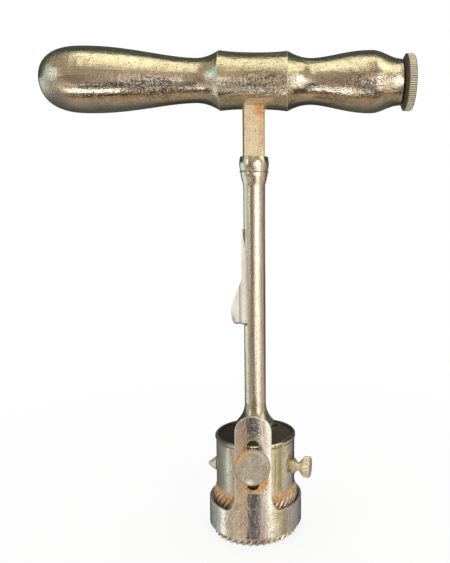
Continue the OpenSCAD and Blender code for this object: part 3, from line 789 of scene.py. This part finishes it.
def joint_stain(p, place):
    """A brown stain from the tang's joint to the right."""
    x, y, z = p.split(place)
    low_down = p.band(z, BARREL_FOOT - 1.4, BARREL_FOOT + 2.2, 1.2)
    return low_down * p.band(x, -1.0, 5.0, 2.5) * p.fall(y, -6, -2) * 0.75


wear(metal("barrel_plating", (0.82, 0.76, 0.62), (0.74, 0.70, 0.58), skin=rough_skin, rust=joint_stain,
           stain=0.5, pits=0.9, grain=ALONG_X, speckle=1.4, rippled=0.8, gloss=0.13, edge=0.3, outline=0.6),
     "handle_barrel")

# %% [markdown]
# ## Clamp knob
#
# The knob's milled grooves are real, in the frame, but at this distance they would hardly
# show. Painted shade makes them read: it lies just below the knob's full radius, and on the bevel
# towards the grip. The knob has lost much of its plating, so nearly half of it no longer mirrors.


# %% Painted shade between the knob's grooves
knob_low, knob_high = box_mm("clamp_knob")
KNOB_RADIUS = knob_high.y
BEVEL_END = knob_low.x + 0.9


def knob_groove_shade(p, place):
    """Painted shade in the milled grooves and on the bevel towards the grip."""
    radius = p.length(place * (0.0, 1.0, 1.0) - (0.0, 0.0, HANDLE_Z))
    below_crests = p.fall(radius, KNOB_RADIUS - 0.20, KNOB_RADIUS - 0.04)
    near_surface = p.step(radius, KNOB_RADIUS - 0.7, KNOB_RADIUS - 0.5)
    x = p.split(place)[0]
    grooves = below_crests * near_surface * p.band(x, BEVEL_END + 0.2, knob_high.x - 0.4, 0.1)
    return p.most(grooves * 0.95, p.fall(x, BEVEL_END, BEVEL_END + 0.3) * 0.92)


wear(metal("knob_plating", (0.88, 0.78, 0.60), (0.78, 0.66, 0.48), dirt_and_shade=knob_groove_shade, stain=0.25, pits=0.2,
           gloss=0.3, patina=0.45), "clamp_knob")

# %% [markdown]
# ## Clamp screw, bush and pad
#
# These work inside the right grip. The screw has a V thread, and a thread that turns with its
# piece in a clean hole needs no geometry: a triangle wave along the axis, used as height, gives
# its crests. One PingPong node makes that wave. The bush and the pad are brass, which
# doesn't seize on the screw.

# %% Thread, steel and brass
STEEL = (0.60, 0.59, 0.57)
STEEL_DARK = (0.52, 0.51, 0.49)
CLAMP_PITCH = 0.7
FINE_PITCH = 0.45


def thread_along(p, axis_value, pitch):
    """The height of a V thread along an axis, with pitch mm from crest to crest."""
    return p.maths("PINGPONG", axis_value, pitch / 2)


def clamp_thread(p, place):
    """A V thread on the clamp screw."""
    return thread_along(p, p.split(place)[0], CLAMP_PITCH) * 0.5


brass = metal("bush_brass", (0.80, 0.62, 0.30), (0.70, 0.52, 0.24), stain=0.3, pits=0.2)
wear(brass, "grip_bush", "clamp_pad")
wear(metal("clamp_steel", STEEL, STEEL_DARK, thread=clamp_thread, stain=0.25, pits=0.2), "clamp_screw")

# %% [markdown]
# ## Tang
#
# The square tang was never plated. It has gone yellow and matt, with rust down its right side
# and where it enters the barrel, and a painted shadow, black, along its left corner. Most of it is
# patina, so that it takes its colour from the lamps and not from the room, as the matt steel does.


# %% Rust, and a painted shadow on the tang's left corner
TANG_LEFT = box_mm("shank_tang")[0].x


def tang_rust(p, place):
    """Rust down the right side, and where the tang enters the barrel."""
    x, _, z = p.split(place)
    right_side = p.band(z, 115.0, 128.0, 4.0) * p.step(x, -1.0, 2.6)
    under_barrel = p.band(z, BARREL_FOOT - 0.8, BARREL_FOOT + 1.6, 1.4)
    return right_side * 0.72 + under_barrel * 0.5


def tang_corner_shadow(p, place):
    """A painted shadow, black along the left corner."""
    return p.fall(p.split(place)[0], TANG_LEFT + 0.3, TANG_LEFT + 0.6) * 0.9


wear(metal("tang_bare", (0.94, 0.80, 0.54), (0.86, 0.68, 0.42), rust=tang_rust, dirt_and_shade=tang_corner_shadow,
           stain=0.8, pits=0.8, grain=(1.6, 1.6, 0.3), speckle=1.4, gloss=0.32,
           stain_colour=(0.58, 0.41, 0.20), patina=0.7), "shank_tang")

# %% [markdown]
# ## Collar, shaft and centre pin
#
# The shaft was polished lengthwise, so its grain runs up it, and it waves less than the grips:
# its bands must stay straight. The pin inside it is bare steel, and so are the nib and the rivet
# of the catch.

# %% Shaft and bare steel
wear(metal("shaft_plating", (0.76, 0.72, 0.64), (0.70, 0.65, 0.58), stain=0.35, pits=0.45,
           grain=(1.6, 1.6, 0.05), speckle=0.85, rippled=0.3), "shank_collar", "shaft")
wear(metal("pin_steel", STEEL, STEEL_DARK, stain=0.25, pits=0.2, grain=(1.4, 1.4, 0.06)),
     "centre_pin", "centre_point", "catch_nib", "catch_rivet")

# %% [markdown]
# ## Catch
#
# The leaf and its thumb fin are pale and satin, brighter than the shaft beside them. A mirror
# finish would show the dark front of the room here, so most of the coat is patina. Painted shade
# lies under the fin's foot, along its seam with the leaf and on its lower front, which gives the
# fin its outline.


# %% Painted shade on the fin
fin_low, fin_high = box_mm("catch_fin")


def catch_fin_shade(p, place):
    """Painted shade under the fin's foot, along its seam and on its lower front."""
    x, _, z = p.split(place)
    foot = p.fall(z, fin_low.z + 0.1, fin_low.z + 0.8) * 0.85
    below_top = p.fall(z, fin_high.z - 2.4, fin_high.z + 0.6)
    seam = p.band(x, fin_high.x - 0.78, fin_high.x - 0.53, 0.15) * below_top * 0.45
    front = p.fall(x, fin_low.x + 0.63, fin_low.x + 1.83)
    lower_front = front * p.fall(z, fin_low.z + 0.7, fin_low.z + 3.7) * 0.5
    return p.most(p.most(foot, seam), lower_front)


wear(metal("catch_plating", (0.97, 0.94, 0.84), (0.90, 0.86, 0.76), dirt_and_shade=catch_fin_shade, stain=0.25,
           pits=0.3, grain=(1.6, 1.6, 0.08), gloss=0.28, patina=0.85, edge=0.3),
     "catch_spring", "catch_fin")

# %% [markdown]
# ## Head
#
# The head is the darkest piece. Its plate lies in the crown's top and is painted nearly black
# with shade. The flare above it has painted shade, black, down its left side, in a strip that
# narrows as it rises, and a thin line of rust marks where the flare leaves the plate. A painted
# glint brightens the rim of the right clearing hole. The boss behind the guard's arm is the same
# metal.


# %% Painted shade, rust and a painted glint on the head
CROWN_TOP = box_mm("crown")[1].z
LEAN = 0.12
CLEARING_HOLE_AT = (5.29, 5.87, 0.0)
ROUND_Z = (1.0, 1.0, 0.0)


def head_shade(p, place):
    """Painted shade: the plate is nearly black, and so is the left side of the flare."""
    x, _, z = p.split(place)
    plate = p.fall(z, CROWN_TOP + 0.7, CROWN_TOP + 1.9) * (0.985 - p.step(x, -4, 9) * 0.10)
    flare = p.fall(x + z * LEAN, 1.0, 3.0) * 0.97
    return p.most(plate, flare)


def flare_rust(p, place):
    """A thin line of rust at the flare's foot."""
    return p.band(p.split(place)[2], CROWN_TOP + 0.9, CROWN_TOP + 1.7, 0.5) * 0.35


def hole_painted_glint(p, place):
    """A painted glint: a bright rim round the clearing hole on the right."""
    ring = p.length(place * ROUND_Z - CLEARING_HOLE_AT)
    on_plate = p.band(p.split(place)[2], CROWN_TOP - 0.6, CROWN_TOP + 0.7, 0.2)
    return p.band(ring, 1.62, 1.95, 0.1) * on_plate * 0.8


wear(metal("head_plating", (0.66, 0.62, 0.52), (0.56, 0.53, 0.46), painted_glint=hole_painted_glint, dirt_and_shade=head_shade,
           rust=flare_rust, stain=0.5, pits=0.6, gloss=0.22), "crown_head", "guard_boss")

# %% [markdown]
# ## Crown
#
# The crown's teeth and flutes are real geometry, so the finish only has to age them. Orange rust
# fills the flutes and fades up the wall, less on the crests and least on those at the right.
# Dirt lies in the flutes, and painted shade darkens them more towards the left, and also the
# wall beside the stud and the left of the lip; two ragged streaks run down the right of the wall.
# The tips of the teeth get little of this darkening, so they stay bright.
# The flutes need no picture to find them: they are whatever lies inside the crests' radius.


# %% Rust in the flutes
CROWN_RADIUS = 25.4 / 2


def flute_rust(p, place):
    """Orange rust in the flutes, fading up the wall."""
    x, _, z = p.split(place)
    flutes = p.fall(z, 13.0, 16.4) * p.step(z, 1.0, 3.0)
    on_crests = p.step(p.length(place * ROUND_Z), CROWN_RADIUS - 0.40, CROWN_RADIUS - 0.04)
    return flutes * (0.80 - on_crests * (0.16 + 0.38 * p.step(x, 2.0, 9.0)))


def crown_streaks(p, place):
    """Two ragged dark lines down the right of the wall."""
    x, y, z = p.split(place)
    lines = p.band(x, 6.0, 6.3, 0.15) * 0.55 + p.band(x, 7.7, 7.85, 0.12) * 0.4
    ragged = p.step(p.noise(place * (1.0, 1.0, 0.12), 0.8, 3.0, 0.5, 61.0), 0.42, 0.56)
    return lines * ragged * p.step(z, 14.0, 16.0) * p.fall(y, -4.0, 0.0)


def crown_dirt_and_shade(p, place):
    """Dirt in the flutes with painted shade growing towards the left, painted shade on the wall beside the
    stud and the left of the lip, and the streaks.
    """
    x, _, z = p.split(place)
    crests = p.step(p.length(place * ROUND_Z), CROWN_RADIUS - 0.8, CROWN_RADIUS - 0.1)
    flutes = p.fall(z, 9.8, 14.0) * (0.95 - p.step(x, -5.0, 1.0) * 0.50) * (1.2 - crests * 0.5)
    # Painted shade on the left side: the wall beside the stud and the left of the lip.
    beside_stud = p.fall(x, -11.0, -4.5) * p.step(z, 13.0, 15.0) * 0.58
    lip = p.fall(x, -8.5, -5.0) * p.step(z, CROWN_TOP - 1.3, CROWN_TOP - 0.6) * 0.8
    above_tips = 0.15 + 0.85 * p.step(z, 1.3, 2.4)
    dark = flutes + p.most(beside_stud, lip) + crown_streaks(p, place)
    return p.least(dark * above_tips, 0.96)


wear(metal("crown_plating", (0.74, 0.70, 0.60), (0.66, 0.62, 0.52), rust=flute_rust, dirt_and_shade=crown_dirt_and_shade,
           stain=0.45, pits=0.55, grain=(1.6, 1.6, 0.08), speckle=0.7), "crown")

# %% [markdown]
# ## Guard
#
# The guard's ring and arm are one plated piece, spotted, with edges rubbed and painted with a
# highlight almost white. The screw has worn a rusty crescent under its head, and a fainter one
# shows over the slot's top.
# Each crescent is a ring, the distance from a centre less a radius, cut off by height. The
# ring's right side is dull.

# %% Crescents of rust on the guard
ROUND_Y = (1.0, 0.0, 1.0)
screw_low, screw_high = box_mm("guard_screw")
SCREW_Z = (screw_low.z + screw_high.z) / 2


def crescent(p, place, centre, radius, inner, outer):
    """1 within inner of a circle in the front plane, and 0 further than outer from it."""
    off_circle = abs(p.length(place * ROUND_Y - centre) - radius)
    return p.fall(off_circle, inner, outer)


def guard_rust(p, place):
    """A crescent under the screw's head, and a fainter one over the slot's top."""
    _, y, z = p.split(place)
    below = crescent(p, place, (0.4, 0.0, SCREW_Z - 5.6), 2.9, 0.4, 2.1)
    below = below * p.fall(z, SCREW_Z - 5.0, SCREW_Z - 1.0)
    above = crescent(p, place, (0.0, 0.0, SCREW_Z + 5.5), 2.6, 0.3, 1.6)
    above = above * p.step(z, SCREW_Z + 2.0, SCREW_Z + 5.0) * 0.45
    return p.fall(y, -9, -7) * (below + above)


def guard_dirt(p, place):
    """The ring is dull towards its right side."""
    return p.step(p.split(place)[0], 7.0, 11.0) * 0.35


wear(metal("guard_plating", (0.80, 0.77, 0.72), (0.68, 0.64, 0.59), rust=guard_rust, dirt_and_shade=guard_dirt,
           stain=0.5, pits=0.8, grain=(1.4, 1.4, 0.15), speckle=0.8, edge=0.5, outline=0.7,
           bright=(1.0, 0.98, 0.93)), "guard")

# %% [markdown]
# ## Guard screw and washer
#
# The big screw's flat head faces the viewer and would mirror one dark patch of the room, where
# the real one is matt and brown-grey. So half of it is patina. It has rust at the upper left,
# painted shade round the left of its edge and in the milling, and a painted glint at its foot.
# The thread starts behind the head. The washer under it is bare and rusty.

# %% Head, milling and thread of the guard screw
HEAD_RADIUS = screw_high.x
BEVEL_Y = screw_low.y + 0.33


def screw_rust(p, place):
    """Rust on the upper left of the head's face."""
    x, y, z = p.split(place)
    upper_left = p.fall(x + (SCREW_Z - z), -8.6, 0.6)
    return upper_left * p.fall(y, -13, -11) * 0.82


def screw_painted_glint(p, place):
    """A painted glint at the foot of the head's face."""
    return p.spot(place * ROUND_Y, (-0.6, 0.0, SCREW_Z - 4.1), 0.2, 1.5) * 0.85


def screw_milling_shade(p, place):
    """Painted shade in the milling, and round the left edge of the face."""
    x, y, z = p.split(place)
    radius = p.length(place * ROUND_Y - (0.0, 0.0, SCREW_Z))
    milling = p.band(radius, HEAD_RADIUS - 0.32, HEAD_RADIUS - 0.15, 0.06)
    grooves = milling * p.band(y, BEVEL_Y, -15.0, 0.2) * 0.6
    left = p.fall(x - (SCREW_Z - z), -3.0, 4.0)
    face_edge = p.band(radius, HEAD_RADIUS - 0.55, HEAD_RADIUS - 0.30, 0.12) * left * 0.4
    return p.most(grooves, face_edge * p.fall(y, BEVEL_Y - 0.1, BEVEL_Y + 0.1))


def guard_thread(p, place):
    """A V thread on the stem behind the head."""
    y = p.split(place)[1]
    return thread_along(p, y, FINE_PITCH) * p.step(y, -14.0, -13.9) * 0.5


wear(metal("screw_plating", (0.62, 0.55, 0.44), (0.50, 0.44, 0.35), rust=screw_rust, dirt_and_shade=screw_milling_shade,
           thread=guard_thread, painted_glint=screw_painted_glint, stain=0.6, pits=0.6, gloss=0.28, patina=0.5,
           speckle=1.1, outline=0.5), "guard_screw")
wear(metal("washer_bare", (0.60, 0.46, 0.30), (0.50, 0.36, 0.22), stain=0.5, pits=0.5), "guard_washer")

# %% [markdown]
# ## Crown screw, seat and stud
#
# The small thumbscrew and the pointed stud are cream and satin, with little wear, so they get
# few stains and a third of patina. The thread on the screw's stem is the same wave as before,
# and stops where the thumb piece begins.


# %% Crown screw, seat and stud
def side_thread(p, place):
    """A V thread on the stem, up to the thumb piece."""
    x = p.split(place)[0]
    return thread_along(p, x, FINE_PITCH) * p.fall(x, 12.0, 12.1) * 0.5


wear(metal("stud_plating", (0.88, 0.80, 0.64), (0.78, 0.68, 0.50), stain=0.3, pits=0.3, gloss=0.34,
           patina=0.3), "crown_stud", "crown_seat")
wear(metal("crown_screw_plating", (0.96, 0.89, 0.74), (0.88, 0.80, 0.62), thread=side_thread,
           stain=0.3, pits=0.25, gloss=0.2, patina=0.35), "crown_screw")

# %% [markdown]
# ## The end
